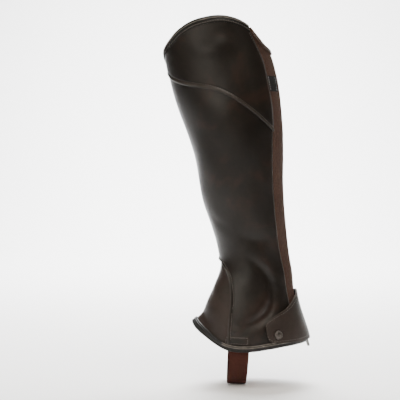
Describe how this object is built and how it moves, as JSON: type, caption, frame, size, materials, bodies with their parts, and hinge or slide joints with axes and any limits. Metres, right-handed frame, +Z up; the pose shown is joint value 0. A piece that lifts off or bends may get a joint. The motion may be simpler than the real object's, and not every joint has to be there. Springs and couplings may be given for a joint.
{
  "type": "half chap",
  "caption": "Filled-out leather half chap for a left lower leg, with an elastic panel, a back zip, a heel tab with a press stud and an elastic stirrup strap.",
  "frame": {"origin": "middle of the hollow tube at the calf, where the wearer's leg holds it", "axes": "+Z up the leg, -X towards the toe, +X towards the heel, -Y the outer side of the leg, +Y the inner side"},
  "size_m": [0.1885, 0.1088, 0.461],
  "materials": {
    "leather": "smooth dark brown leather, semi-gloss",
    "soft_leather": "soft dark brown leather, fine grain",
    "binding": "thin folded leather, satin",
    "suede": "tan suede, matt",
    "elastic": "ribbed brown elastic, matt",
    "strap": "woven dark red-brown elastic, matt",
    "label": "plain woven ribbon, bare",
    "zip_tape": "woven tape, matt",
    "zip_coil": "moulded coil, satin",
    "metal": "dark gunmetal, satin"
  },
  "bodies": {
    "chap": {"outer_panel": "leather", "inner_panel": "leather", "yoke": "leather", "gusset": "soft_leather", "heel_tab": "leather", "top_binding": "binding", "hem_binding": "binding", "lining": "suede", "elastic_panel": "elastic", "elastic_top_binding": "elastic", "stirrup_strap": "strap", "side_label": "label", "zip_tape_outer": "zip_tape", "zip_tape_inner": "zip_tape", "zip_teeth": "zip_coil", "zip_slider": "metal", "press_stud": "metal"},
    "zip_pull": {"pull_tab": "metal"}
  },
  "joints": [
    {"name": "pull_swing", "type": "hinge", "parent": "chap", "child": "zip_pull", "pos_m": [0.09522, 0.01283, -0.27917], "axis": [0.339, -0.938, 0.0717], "range_deg": [-2, 6]}
  ]
}
